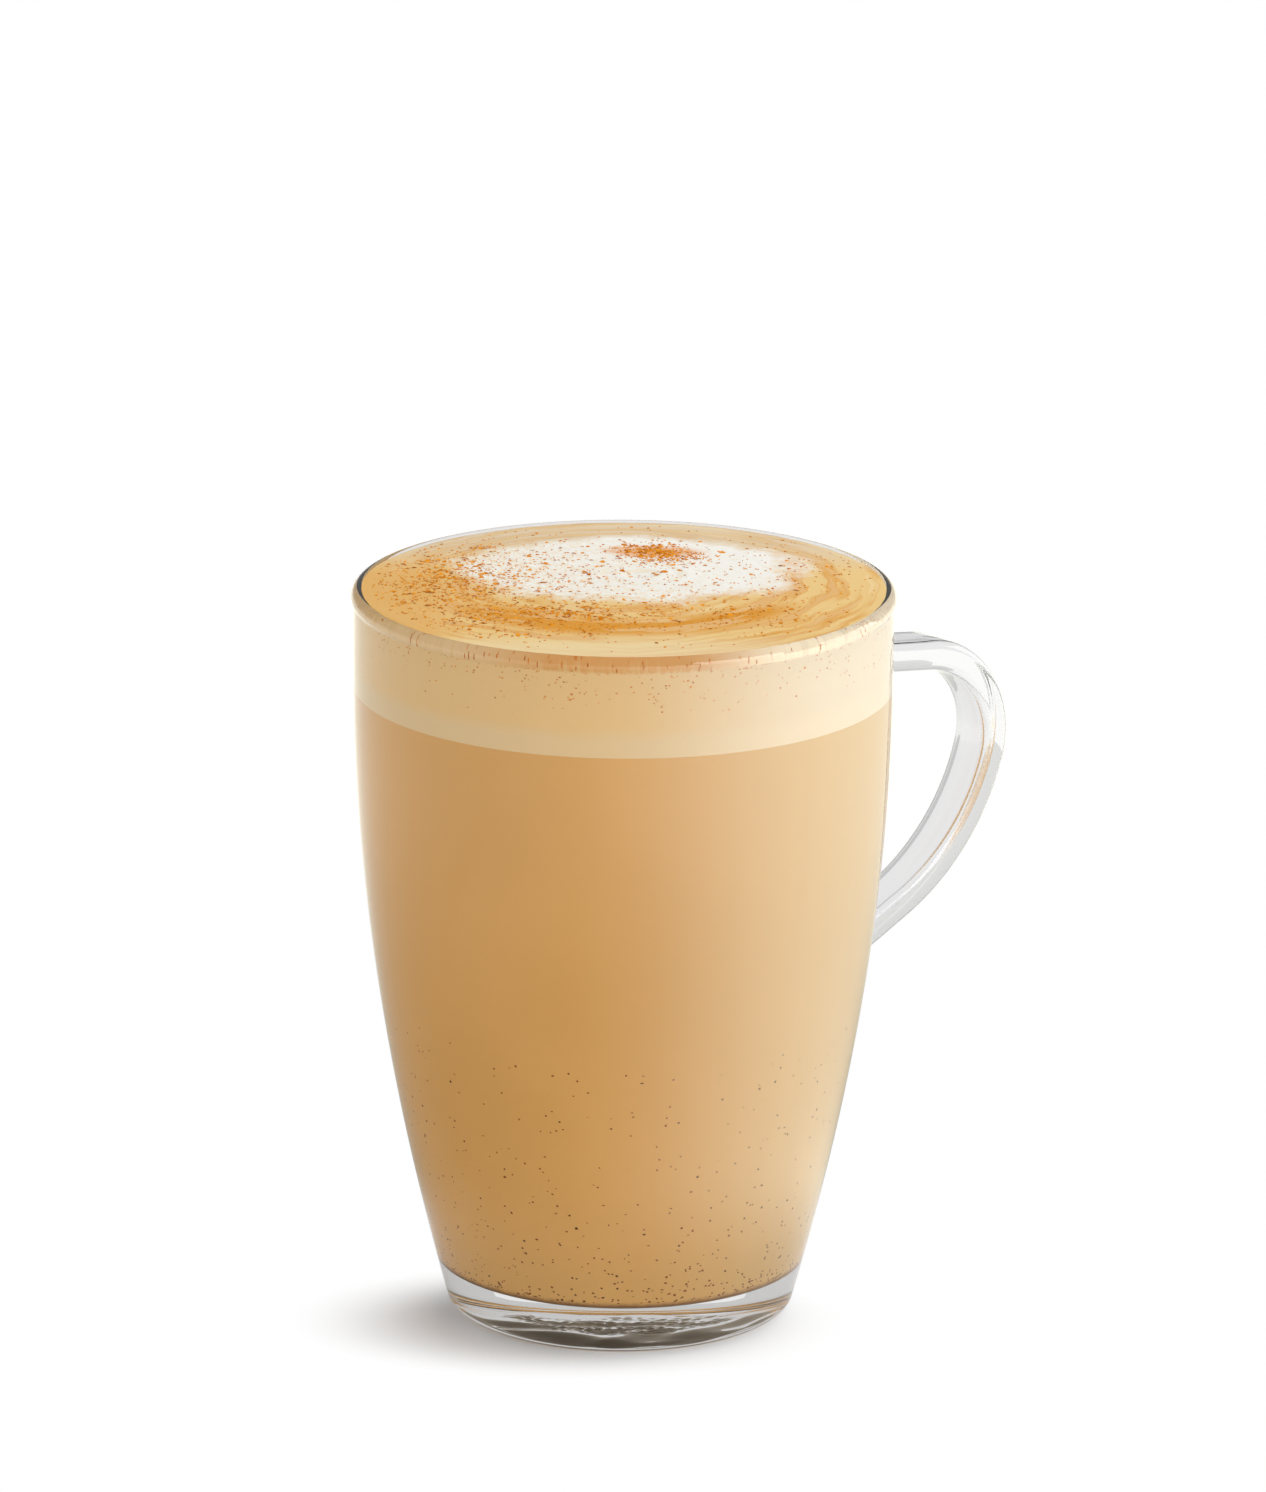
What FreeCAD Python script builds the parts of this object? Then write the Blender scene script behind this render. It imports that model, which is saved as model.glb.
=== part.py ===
"""A clear glass mug with a strap handle, filled to the brim with a spiced milk coffee.

The mug is one solid: a wall that swells quickly above a thick base, a rolled lip, a hollow
underside that leaves a ring to stand on, and a strap handle fused to the wall. The drink fills
the mug in three layers: the milk coffee, a pale band of milk foam and the stained foam on top,
which stands in a low dome between the lips.

Millimetres, +Z up. The origin is the centre of the standing ring, and the handle points to +X.
"""
import math
import os

import FreeCAD
import Part

# Driving dimensions
HEIGHT = 121.0          # table to the top of the lip
RIM_RADIUS = 43.6       # outside of the wall below the lip
UPRIGHT = 17.0          # height of the upright part, from the top of the lip down
SWELL_DEPTH = 15.6      # how far the wall draws in, from the rim to the table
SWELL_POWER = 1.85      # how late the wall draws in
WALL = 2.4              # thickness of the wall
WALL_AT_FLOOR = 4.0     # thickness of the wall beside the floor of the cavity
WALL_TAPER = 24.0       # height over which the wall thins from that to its own thickness
BASE = 8.0              # thickness of the glass under the drink
LIP_PROUD = 0.4         # how far the rolled lip stands out from the wall
LIP_COVE = 1.0          # radius of the cove under the lip
FLOOR_ROUND = 1.8       # radius between the floor and the wall, inside
FOOT_ROUND = 2.2        # radius of the outer edge at the table
FOOT_WIDTH = 3.0        # width of the flat standing ring
HOLLOW = 1.6            # height of the hollow under the base
HOLLOW_POWER = 4        # how flat the hollow is before it comes down to the ring

HANDLE_WIDTH = 8.9      # across the strap
HANDLE_THICKNESS = 5.1  # through the strap
HANDLE_EDGE = 1.5       # radius of the long edges of the strap
HANDLE_DROP = 18.3      # top of the lip to the middle of the strap where it leaves the wall
HANDLE_FALL = 6.3       # degrees by which the top run falls away from the wall
HANDLE_RUN = 16.9       # length of the top run, from the wall
SHOULDER_RADIUS = 14.9  # radius of the shoulder, at the middle of the strap
SHOULDER_TURN = 99.9    # degrees turned by the shoulder
BACK_RADIUS = 38.3      # radius of the long curve below the shoulder
BACK_TURN = 45.3        # degrees turned by the long curve
HANDLE_FILLET = 2.6     # radius where the strap meets the wall

FOAM_DEPTH = 11.6       # stained foam at the glass, from the lip's inner edge down
BAND = 3.7              # pale foam under it
FOAM_DOME = 2.9         # rise of the foam from the glass to the middle

PROFILE_STEPS = 12      # spans of a curve that is drawn through points of a formula

# Worked out from them
LIP_ROUND = (WALL + LIP_PROUD) / 2
BRIM = HEIGHT - LIP_ROUND
SWELL_HEIGHT = HEIGHT - UPRIGHT
BAND_TOP = BRIM - FOAM_DEPTH
LATTE_LEVEL = BAND_TOP - BAND


def point(x, z):
    """A point in the plane of the handle."""
    return FreeCAD.Vector(x, 0, z)


def outer_radius(z):
    """Outside of the wall at a height: a power curve below the upright part."""
    depth = max(0.0, 1.0 - z / SWELL_HEIGHT)
    return RIM_RADIUS - SWELL_DEPTH * depth ** SWELL_POWER


def inner_radius(z):
    """Inside of the wall at a height: the wall is thicker beside the floor."""
    taper = max(0.0, 1.0 - (z - BASE) / WALL_TAPER)
    return outer_radius(z) - WALL - (WALL_AT_FLOOR - WALL) * taper ** 2


def formula_curve(place, low, high):
    """A smooth edge through the points that a function gives between two values."""
    span = (high - low) / PROFILE_STEPS
    curve = Part.BSplineCurve()
    curve.interpolate([place(low + span * i) for i in range(PROFILE_STEPS + 1)])
    return curve.toShape()


def wall_curve(radius, low, high):
    """The edge of a wall whose radius a function gives between two heights."""
    return formula_curve(lambda z: point(radius(z), z), low, high)


def line(a, b):
    return Part.makeLine(a, b)


def arc(a, middle, b):
    return Part.Arc(a, middle, b).toShape()


def round_arc(centre, radius, start, end):
    """An arc about a centre in the plane of the handle, between two angles in degrees."""
    angles = [math.radians(start + (end - start) * share) for share in (0.0, 0.5, 1.0)]
    points = [centre + point(radius * math.cos(a), radius * math.sin(a)) for a in angles]
    return arc(*points)


def turned(edges):
    """The solid swept by a closed outline turned about the upright axis, its seam at -X."""
    centre, up = FreeCAD.Vector(0, 0, 0), FreeCAD.Vector(0, 0, 1)
    face = Part.Face(Part.Wire(Part.__sortEdges__(edges)))
    face.rotate(centre, up, 180)
    return face.revolve(centre, up, 360)


def edges_at(solid, height, radius):
    """The round edges of a turned solid at a height and about a radius."""
    found = []
    for edge in solid.Edges:
        box = edge.BoundBox
        level = abs(box.ZMin - height) < 0.01 and abs(box.ZMax - height) < 0.01
        if level and abs(box.XMax - radius) < 0.01:
            found.append(edge)
    return found


def cup():
    """The mug without its handle: wall, rolled lip, thick base and hollow underside."""
    lip = point(inner_radius(BRIM) + LIP_ROUND, BRIM)
    across = RIM_RADIUS + LIP_COVE - lip.x
    drop = math.sqrt((LIP_ROUND + LIP_COVE) ** 2 - across ** 2)
    cove = lip + point(across, -drop)
    angle = math.degrees(math.atan2(drop, across))
    foot = outer_radius(0)
    ring = foot - FOOT_ROUND - FOOT_WIDTH
    floor = inner_radius(BASE)
    body = turned([
        formula_curve(lambda r: point(r, HOLLOW * (1 - (r / ring) ** HOLLOW_POWER)), 0, ring),
        line(point(ring, 0), point(foot, 0)),
        wall_curve(outer_radius, 0, SWELL_HEIGHT),
        line(point(RIM_RADIUS, SWELL_HEIGHT), point(RIM_RADIUS, cove.z)),
        round_arc(cove, LIP_COVE, 180, 180 - angle),
        round_arc(lip, LIP_ROUND, -angle, 90),
        round_arc(lip, LIP_ROUND, 90, 180),
        line(point(inner_radius(BRIM), BRIM), point(inner_radius(SWELL_HEIGHT), SWELL_HEIGHT)),
        wall_curve(inner_radius, BASE, SWELL_HEIGHT),
        line(point(floor, BASE), point(0, BASE)),
        line(point(0, BASE), point(0, HOLLOW)),
    ])
    body = body.makeFillet(FOOT_ROUND, edges_at(body, 0, foot))
    return body.makeFillet(FLOOR_ROUND, edges_at(body, BASE, floor))


def filling(level):
    """What fills the mug from its floor to a level."""
    floor = inner_radius(BASE)
    upright = inner_radius(SWELL_HEIGHT)
    inside = turned([
        line(point(0, BASE), point(floor, BASE)),
        wall_curve(inner_radius, BASE, SWELL_HEIGHT),
        line(point(upright, SWELL_HEIGHT), point(upright, level)),
        line(point(upright, level), point(0, level)),
        line(point(0, level), point(0, BASE)),
    ])
    return inside.makeFillet(FLOOR_ROUND, edges_at(inside, BASE, floor))


def wall_middle():
    """A solid out to the middle of the wall, which trims the ends of the strap."""
    def middle(z):
        return outer_radius(z) - WALL / 2

    return turned([
        line(point(0, 0), point(middle(0), 0)),
        wall_curve(middle, 0, SWELL_HEIGHT),
        line(point(middle(SWELL_HEIGHT), SWELL_HEIGHT), point(middle(HEIGHT), HEIGHT)),
        line(point(middle(HEIGHT), HEIGHT), point(0, HEIGHT)),
        line(point(0, HEIGHT), point(0, 0)),
    ])


def strap_section(place, heading):
    """The strap's rounded section, square to a heading in the plane of the handle."""
    across = FreeCAD.Vector(0, 1, 0)
    out = point(-math.sin(heading), math.cos(heading))
    corners = []
    for quarter, (side, rise) in enumerate(((1, 1), (-1, 1), (-1, -1), (1, -1))):
        centre = place + across * (side * (HANDLE_WIDTH / 2 - HANDLE_EDGE))
        centre += out * (rise * (HANDLE_THICKNESS / 2 - HANDLE_EDGE))
        angles = [math.radians(90 * quarter + 45 * step) for step in range(3)]
        rays = [across * math.cos(a) + out * math.sin(a) for a in angles]
        corners.append([centre + ray * HANDLE_EDGE for ray in rays])
    edges = []
    for i, corner in enumerate(corners):
        edges.append(arc(*corner))
        edges.append(line(corner[2], corners[(i + 1) % 4][0]))
    return Part.Face(Part.Wire(edges))


def handle():
    """The strap: a top run, a tight shoulder, a long curve and a lower run into the wall."""
    heading = math.radians(-HANDLE_FALL)
    along = point(math.cos(heading), math.sin(heading))
    root = point(outer_radius(HEIGHT - HANDLE_DROP), HEIGHT - HANDLE_DROP)
    start = root - along * HANDLE_THICKNESS
    place = root + along * HANDLE_RUN
    strap = strap_section(start, heading).extrude(place - start)
    for radius, turn in ((SHOULDER_RADIUS, SHOULDER_TURN), (BACK_RADIUS, BACK_TURN)):
        inward = point(math.sin(heading), -math.cos(heading))
        centre = place + inward * radius
        bend = strap_section(place, heading).revolve(centre, FreeCAD.Vector(0, 1, 0), turn)
        strap = strap.fuse(bend)
        heading -= math.radians(turn)
        place = centre + point(-math.sin(heading), math.cos(heading)) * radius
    along = point(math.cos(heading), math.sin(heading))
    inside = outer_radius(0) - place.x
    strap = strap.fuse(strap_section(place, heading).extrude(along * (inside / along.x)))
    return strap.removeSplitter().cut(wall_middle())


def on_wall(place):
    """Whether a point lies on the outside of the wall."""
    return abs(math.hypot(place.x, place.y) - outer_radius(place.z)) < 0.05


def seam_edges(solid):
    """The edges where the strap meets the wall."""
    found = []
    for edge in solid.Edges:
        first, last = edge.ParameterRange
        places = [edge.valueAt(first + (last - first) * share) for share in (0.0, 0.5, 1.0)]
        beside = all(p.x > 0 and abs(p.y) < HANDLE_WIDTH / 2 + 0.01 for p in places)
        if beside and all(on_wall(p) and p.z > FOOT_ROUND for p in places):
            found.append(edge)
    return found


def glass_mug():
    """The mug and its handle as one solid, with a fillet where they meet."""
    whole = cup().fuse(handle())
    return whole.makeFillet(HANDLE_FILLET, seam_edges(whole))


def drink_layer(low, high):
    """The part of the filling between two levels."""
    slab = Part.makeCylinder(RIM_RADIUS, high - low, point(0, low))
    return filling(high).common(slab)


def foam_dome():
    """The low dome of foam that stands above the inner edge of the lip."""
    edge = inner_radius(BRIM)
    crown = BRIM + FOAM_DOME
    return turned([
        line(point(0, BRIM), point(edge, BRIM)),
        arc(point(edge, BRIM), point(edge / 2, BRIM + FOAM_DOME * 0.75), point(0, crown)),
        line(point(0, crown), point(0, BRIM)),
    ])


def nodes():
    return {
        "glass_mug": glass_mug(),
        "latte": drink_layer(BASE, LATTE_LEVEL),
        "milk_foam": drink_layer(LATTE_LEVEL, BAND_TOP),
        "crema_foam": drink_layer(BAND_TOP, BRIM).fuse(foam_dome()).removeSplitter(),
    }


os.makedirs("parts", exist_ok=True)
for name, shape in nodes().items():
    solids = shape.Solids
    print(name, len(solids), "solid", round(shape.Volume), "mm3", shape.isValid())
    solids[0].exportStep("parts/" + name + ".step")
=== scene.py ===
"""A spiced milk coffee in a clear glass mug: its surfaces, finishes, light and camera.

Lengths are in millimetres until a mesh is made, and the mug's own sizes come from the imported
frame. "Ahead" is the direction in which the camera looks, and "aside" is to its right.
"""
import math

import bpy
import numpy as np
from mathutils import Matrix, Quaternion, Vector


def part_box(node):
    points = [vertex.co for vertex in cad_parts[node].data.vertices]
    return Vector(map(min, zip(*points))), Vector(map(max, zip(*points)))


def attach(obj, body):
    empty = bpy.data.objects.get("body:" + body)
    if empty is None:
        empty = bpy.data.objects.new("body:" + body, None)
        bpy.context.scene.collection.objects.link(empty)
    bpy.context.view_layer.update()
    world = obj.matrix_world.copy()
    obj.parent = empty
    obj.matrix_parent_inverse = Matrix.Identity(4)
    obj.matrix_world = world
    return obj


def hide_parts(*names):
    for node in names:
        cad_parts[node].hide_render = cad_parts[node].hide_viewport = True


MM = 0.001
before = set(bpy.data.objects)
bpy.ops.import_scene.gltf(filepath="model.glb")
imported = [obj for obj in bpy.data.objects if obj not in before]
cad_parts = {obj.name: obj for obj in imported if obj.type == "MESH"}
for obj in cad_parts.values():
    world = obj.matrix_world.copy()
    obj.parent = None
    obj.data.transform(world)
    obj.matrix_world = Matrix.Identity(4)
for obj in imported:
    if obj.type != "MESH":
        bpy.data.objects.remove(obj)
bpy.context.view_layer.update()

# ---------------------------------------------------------------- sizes

# The mug and its drink, from the frame
MUG_HIGH = np.array(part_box("glass_mug")[1]) / MM
LATTE_LOW, LATTE_HIGH = (np.array(corner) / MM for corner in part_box("latte"))
FOAM_LOW, FOAM_HIGH = (np.array(corner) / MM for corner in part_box("crema_foam"))
HEIGHT = MUG_HIGH[2]
BASE = LATTE_LOW[2]
LATTE_LEVEL = LATTE_HIGH[2]
BAND_TOP = FOAM_LOW[2]
CAVITY_RADIUS = LATTE_HIGH[0]

# The cup, where the boxes don't say
LIP_PROUD = 0.4
LIP_COVE = 1.0
RIM_RADIUS = MUG_HIGH[1] - LIP_PROUD
WALL = RIM_RADIUS - CAVITY_RADIUS
LIP_ROUND = (WALL + LIP_PROUD) / 2
BRIM = HEIGHT - LIP_ROUND
SWELL_HEIGHT = HEIGHT - 17.0
SWELL_DEPTH = 15.6
SWELL_POWER = 1.85
WALL_AT_FLOOR = 4.0
WALL_TAPER = 24.0
FLOOR_ROUND = 1.8
FOOT_ROUND = 2.2
FOOT_WIDTH = 3.0

# The hollow under the foot, with its slow waves and its rough middle
HOLLOW = 1.6
HOLLOW_POWER = 4
HOLLOW_WAVE = 0.32
HOLLOW_FADE = 5.0
ROUGH_RADIUS = 13.0
ROUGH_FADE = 3.0
ROUGH_HEIGHT = 0.15

# The handle, a strap. Each bend is a radius and an angle
STRAP_WIDTH = 8.9
STRAP_THICKNESS = 5.1
STRAP_EDGE = 1.5
STRAP_DROP = 18.3
STRAP_FALL = math.radians(6.3)
STRAP_RUN = 16.9
STRAP_BENDS = ((14.9, math.radians(99.9)), (38.3, math.radians(45.3)))
STRAP_FILLET = 2.6
STRAP_INTO_WALL = 0.35          # how deep its ends go, as a share of the wall
STRAP_STEP = 1.2                # how far apart its sections are, at most

# How far the drink reaches into the wall, so that no air gap shows
INTO_GLASS = 0.1

# Steps round the mug, across a layer of drink, round the lip and across the foam's top
AROUND = 192
ACROSS = 15
CLIMB_STEPS = 16
TOP_STEPS = 84
SHARP_FROM = math.radians(40)   # edges at least this sharp stay sharp

# The foam on the lip: degrees that it climbs, at cosines from behind to in front, and the thin
# film of it that lies over the lip from some way up
FOAM_CLING = ((-1, -0.6, 0, 0.7, 1), (56, 58, 76, 98, 98))
CLING_UNEVEN = 1.2
FOAM_FILM = 0.06
FILM_START = math.radians(50)
FILM_GROWS = math.radians(22)

# The foam's top: its dome, its swells, and the ripples and the pit at one spot
FOAM_TOP = FOAM_HIGH[2] - 0.25
CALM_RIM = 0.2                  # share of its radius over which it gets level towards the lip
SWELL_RISE = 0.14
RIPPLE_AT = (3.0, 4.0)
RIPPLE_RISE = 0.16
RIPPLE_TURN = 1.7               # radians of a ripple for each millimetre
RIPPLE_REACH = 8.0
PIT_DEPTH = 0.3
PIT_REACH = 3.2

# Spice on the foam: (aside, ahead, spread aside, spread ahead, count) of each heap
SPICE_HEAPS = (
    (5, 18.5, 3.2, 3.8, 430), (9, 15, 4.5, 3.0, 130), (-16, 8, 9, 8, 200), (0, 0, 14, 9, 260),
    (-28, -1, 7.5, 11, 1000), (-14, -22, 10, 6, 520), (-12, -19, 4, 2, 130), (14, -20, 9, 4, 260),
    (28, 5, 7, 12, 110), (-22.9, 24, 1.3, 0.9, 34),
)
SPICE_ALL_OVER = 330
SPICE_WITHIN = 40.5
FLAKE_SIZE, FLAKE_SPREAD = 0.55, 0.42
FLAKE_SIZES = (0.25, 1.5)
FLAKE_TILT = 0.22
FLAKE_THICKNESS = 0.22
FLAKE_LIFT = 0.02

# Specks in the drink's side: how high the settled ones reach, the powers that crowd them, and
# where the streaks are under the lip
SPECK_THICKNESS = 0.2
SETTLED_REACH, SETTLED_CROWDING = 44.0, 2.3
FOAM_CROWDING = 0.45
STREAKS_FROM, STREAKS_DEPTH = 2.6, 1.4

# Where things are in the foam's pattern, as (aside, ahead) and half sizes
PATCH_AT, PATCH_HALF = (1.0, 9.0), (30.0, 23.5)
STAIN_AT, STAIN_HALF = (5.0, 19.5), (9.0, 5.0)

# View: the camera looks down at the mug with the handle behind it on the right
VIEW_TURN = math.radians(-36.0)
VIEW_TILT = math.radians(16.01)
VIEW_ROLL = math.radians(0.35)
VIEW_DISTANCE = 1490.1
VIEW_TARGET = (1.6, 94.3)       # aside and up
VIEW_LENS = 222.1
ASIDE = np.array([math.cos(VIEW_TURN), math.sin(VIEW_TURN)])
AHEAD = np.array([-math.sin(VIEW_TURN), math.cos(VIEW_TURN)])

# Soft lamps round the mug: degrees to the right of the camera, and watts. Two of them show in
# the glass. One more lamp stands high behind it
RING_LAMPS = ((50, 8.0), (110, 5.0), (170, 4.4), (230, 4.4), (290, 7.0), (350, 4.6))
MIRRORED_LAMPS = (50, 110)
RING_SIZE, RING_RISE, RING_DISTANCE = (0.9, 0.65), 14, 1.3
HIGH_TURN, HIGH_LAMP = 135, 7.9
HIGH_SIZE, HIGH_RISE, HIGH_DISTANCE = (0.8, 0.8), 66, 1.1
LAMPS_AIM = 0.07                # metres up the mug

# The floor: its shade, left of the foot and before it, and its sheen as the glass mirrors it
FLOOR_RADIUS = 6000.0
FLOOR_STEPS = 96
FLOOR_TONE = (0.92, 0.945, 0.97, 1.0)
SHADE_AT = ASIDE * -8.0 - AHEAD * 12.0
SHADE_HALF = (47.0, 29.0)
SHADE_FADE = (0.42, 1.0)
SHEEN_TONE = (1.0, 1.0, 0.9, 1.0)
SHEEN_FADE = (80.0, 330.0)
SHEEN_ALL_ROUND = (0.3, 1.1)
SHEEN_TURN = math.radians(66)
SHEEN_BESIDE, BESIDE_POWER = 2.8, 1.7
SHEEN_BEHIND, BEHIND_POWER = 0.2, 1.0
CLEAR_OF_MUG = (38.0, 75.0)

# Light of the floor and the world through glass, and of the world on dull surfaces
FLOOR_THROUGH_GLASS = 0.84
WORLD_THROUGH_GLASS = 0.72
SKY = 0.1
ROOM_IN_MIRRORS = (0.8, 0.4)    # level with the mug, and higher up
WORLD_TONE = (0.8, 0.8, 0.8, 1.0)


# ---------------------------------------------------------------- sections

def outer_radius(z):
    """Outside of the wall: the rim radius less a power of how far the height is below the swell."""
    depth = np.clip(1 - z / SWELL_HEIGHT, 0, None)
    return RIM_RADIUS - SWELL_DEPTH * depth ** SWELL_POWER


def inner_radius(z):
    """Inside of the wall: the outside less a wall that thickens as a square towards the floor."""
    taper = np.clip(1 - (z - BASE) / WALL_TAPER, 0, None)
    return outer_radius(z) - WALL - (WALL_AT_FLOOR - WALL) * taper ** 2


def drink_radius(z):
    """Side of the drink: the inside of the wall and a little more."""
    return inner_radius(z) + INTO_GLASS


def ring_radius():
    """Inner radius of the standing ring, where the hollow under the foot ends."""
    return float(outer_radius(0)) - FOOT_ROUND - FOOT_WIDTH


def arc(centre, radius, start, end, steps):
    """Points of a circle about a centre, evenly spaced between two angles in radians."""
    angle = np.linspace(start, end, steps)
    return np.stack([centre[0] + radius * np.cos(angle), centre[1] + radius * np.sin(angle)], 1)


def rounded_corner(before, corner, after, radius, steps):
    """The arc of a radius that is tangent to both lines that meet at a corner."""
    a = (before - corner) / np.linalg.norm(before - corner)
    b = (after - corner) / np.linalg.norm(after - corner)
    half = math.acos(float(np.clip(a @ b, -1, 1))) / 2
    centre = corner + (a + b) / np.linalg.norm(a + b) * radius / math.sin(half)
    first = corner + a * radius / math.tan(half) - centre
    last = corner + b * radius / math.tan(half) - centre
    start = math.atan2(first[1], first[0])
    turn = (math.atan2(last[1], last[0]) - start + math.pi) % math.tau - math.pi
    return arc(centre, radius, start, start + turn, steps)


def wall_points(radius, low, high, steps):
    """Points of a wall whose radius a function gives, evenly spaced in height."""
    height = np.linspace(low, high, steps)
    return np.stack([radius(height), height], 1)


def level_points(radii, height):
    """Points of a level line at some radii."""
    return np.stack([radii, np.full(len(radii), height)], 1)


def cup_outline():
    """The cup's section: hollow, standing ring, wall, cove, rolled lip, inside and floor.

    The hollow's height is its depth times one less a power of the share of its radius. Straight
    runs stop a little short of the arcs that they meet, so that no step there is very small.
    """
    ring = ring_radius()
    share = np.concatenate([np.linspace(0, 0.9, 56), np.linspace(0.91, 1, 10)])
    hollow = np.stack([share * ring, HOLLOW * (1 - share ** HOLLOW_POWER)], 1)
    side = np.array([outer_radius(FOOT_ROUND), FOOT_ROUND])
    corner = np.array([float(outer_radius(0)), 0.0])
    foot = rounded_corner(np.array([0.0, 0.0]), corner, side, FOOT_ROUND, 14)
    standing = level_points(np.linspace(ring + 0.2, foot[0, 0] - 0.2, 6), 0.0)

    lip = np.array([RIM_RADIUS - WALL + LIP_ROUND, BRIM])
    reach = RIM_RADIUS + LIP_COVE - lip[0]
    drop = math.sqrt((LIP_ROUND + LIP_COVE) ** 2 - reach ** 2)
    angle = math.atan2(drop, reach)
    cove = lip + (reach, -drop)

    corner = np.array([inner_radius(BASE), BASE])
    side = np.array([inner_radius(BASE + FLOOR_ROUND), BASE + FLOOR_ROUND])
    bend = rounded_corner(side, corner, np.array([0.0, BASE]), FLOOR_ROUND, 12)
    return np.concatenate([
        hollow,
        standing,
        foot,
        wall_points(outer_radius, foot[-1, 1] + 0.4, cove[1] - 0.2, 92),
        arc(cove, LIP_COVE, math.pi, math.pi - angle, 8),
        arc(lip, LIP_ROUND, -angle, math.pi, 30)[1:],
        wall_points(inner_radius, BRIM - 0.3, bend[0, 1] + 0.4, 84),
        bend,
        level_points(np.linspace(bend[-1, 0] - 0.5, 0, 20), BASE),
    ])


def drink_outline(low, high, floor_round=0.0):
    """The section of a layer of drink, from the middle of its bottom to the middle of its top.

    It is level, then rises along the wall's inside, and is level again. Its bottom corner may be
    an arc.
    """
    steps = max(6, int((high - low) / 1.5))
    if floor_round:
        corner = np.array([drink_radius(low), low])
        side = np.array([drink_radius(low + floor_round), low + floor_round])
        bend = rounded_corner(np.array([0.0, low]), corner, side, floor_round, 10)
        rise = wall_points(drink_radius, bend[-1, 1] + 0.3, high, steps)
    else:
        bend = np.array([[drink_radius(low), low]])
        rise = wall_points(drink_radius, low, high, steps)[1:]
    bottom = level_points(np.linspace(0, bend[0, 0], ACROSS + 1)[:-1], low)
    top = level_points(np.linspace(drink_radius(high), 0, ACROSS + 1)[1:], high)
    return np.concatenate([bottom, bend, rise, top])


# ---------------------------------------------------------------- meshes

def make_piece(name, points, faces, node=None):
    """A smooth mesh piece from points in millimetres and faces, which may replace a CAD node."""
    mesh = bpy.data.meshes.new(name)
    mesh.from_pydata((np.asarray(points) * MM).tolist(), [], faces)
    mesh.polygons.foreach_set("use_smooth", np.ones(len(mesh.polygons), bool))
    mesh.set_sharp_from_angle(angle=SHARP_FROM)
    piece = bpy.data.objects.new(name, mesh)
    bpy.context.scene.collection.objects.link(piece)
    if node:
        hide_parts(node)
    return piece


def dress(piece, material):
    """Gives a piece its material and the body that it rides on."""
    piece.data.materials.clear()
    piece.data.materials.append(material)
    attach(piece, "root")


def directions(count):
    """(angles, unit vectors) of evenly spaced directions round the mug."""
    angle = np.arange(count) * math.tau / count
    return angle, np.stack([np.cos(angle), np.sin(angle)], 1)


def tube_faces(rings, around, flipped=False):
    """Four-sided faces between rings of points that follow each other.

    They are flipped where the points run the other way round, so that they still face outwards.
    """
    here = np.arange(around)
    beyond = (here + 1) % around
    start = (np.arange(rings - 1) * around)[:, None]
    corners = [start + here, start + beyond, start + around + beyond, start + around + here]
    if flipped:
        corners = [corners[0], corners[3], corners[2], corners[1]]
    return np.stack(corners, 2).reshape(-1, 4).tolist()


def turned(profile, around=AROUND):
    """(points, faces) of a closed outline turned once: each (r, z) becomes (r cos a, r sin a, z).

    The first and last points lie on the axis and are single poles.
    """
    ring = directions(around)[1]
    inner = profile[1:-1]
    points = np.concatenate([
        np.concatenate([inner[:, None, :1] * ring, np.repeat(inner[:, None, 1:], around, 1)],
                       2).reshape(-1, 3),
        [(0, 0, profile[0, 1]), (0, 0, profile[-1, 1])],
    ])
    here = np.arange(around)
    beyond = (here + 1) % around
    last = (len(inner) - 1) * around
    pole = len(inner) * around
    under = np.stack([np.full(around, pole), beyond, here], 1)
    over = np.stack([last + here, last + beyond, np.full(around, pole + 1)], 1)
    return points, tube_faces(len(inner), around) + under.tolist() + over.tolist()


def uneven_hollow(points):
    """The hollow under the foot: slow waves, a sine of x times a sine of y, and a rough middle.

    The middle's roughness is a product of two shorter sines, each bent by the other direction.
    """
    x, y, z = points.T
    radius = np.hypot(x, y)
    fade = np.clip((ring_radius() - radius) / HOLLOW_FADE, 0, 1) ** 2 * (z < BASE / 2)
    wave = HOLLOW_WAVE * np.sin(x / 2.1 + 1.4 * np.sin(y / 3.7)) * np.sin(y / 2.6 + 0.7)
    middle = ROUGH_HEIGHT * np.clip((ROUGH_RADIUS - radius) / ROUGH_FADE, 0, 1)
    rough = np.sin(2.3 * x + 2 * np.sin(1.3 * y)) * np.sin(2.7 * y + 2 * np.sin(1.1 * x))
    return np.stack([x, y, z + (wave + middle * rough) * fade], 1)


def strap_section(corner_steps=6):
    """(points, outward directions) of the strap's rounded section, as (across, out) pairs.

    Each corner is a quarter circle about a point that is set in from both sides.
    """
    half = np.array([STRAP_WIDTH, STRAP_THICKNESS]) / 2 - STRAP_EDGE
    places, ways = [], []
    for quarter, signs in enumerate(((1, 1), (-1, 1), (-1, -1), (1, -1))):
        angle = np.linspace(0, math.pi / 2, corner_steps) + quarter * math.pi / 2
        way = np.stack([np.cos(angle), np.sin(angle)], 1)
        places.append(half * signs + way * STRAP_EDGE)
        ways.append(way)
    return np.concatenate(places), np.concatenate(ways)


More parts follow.
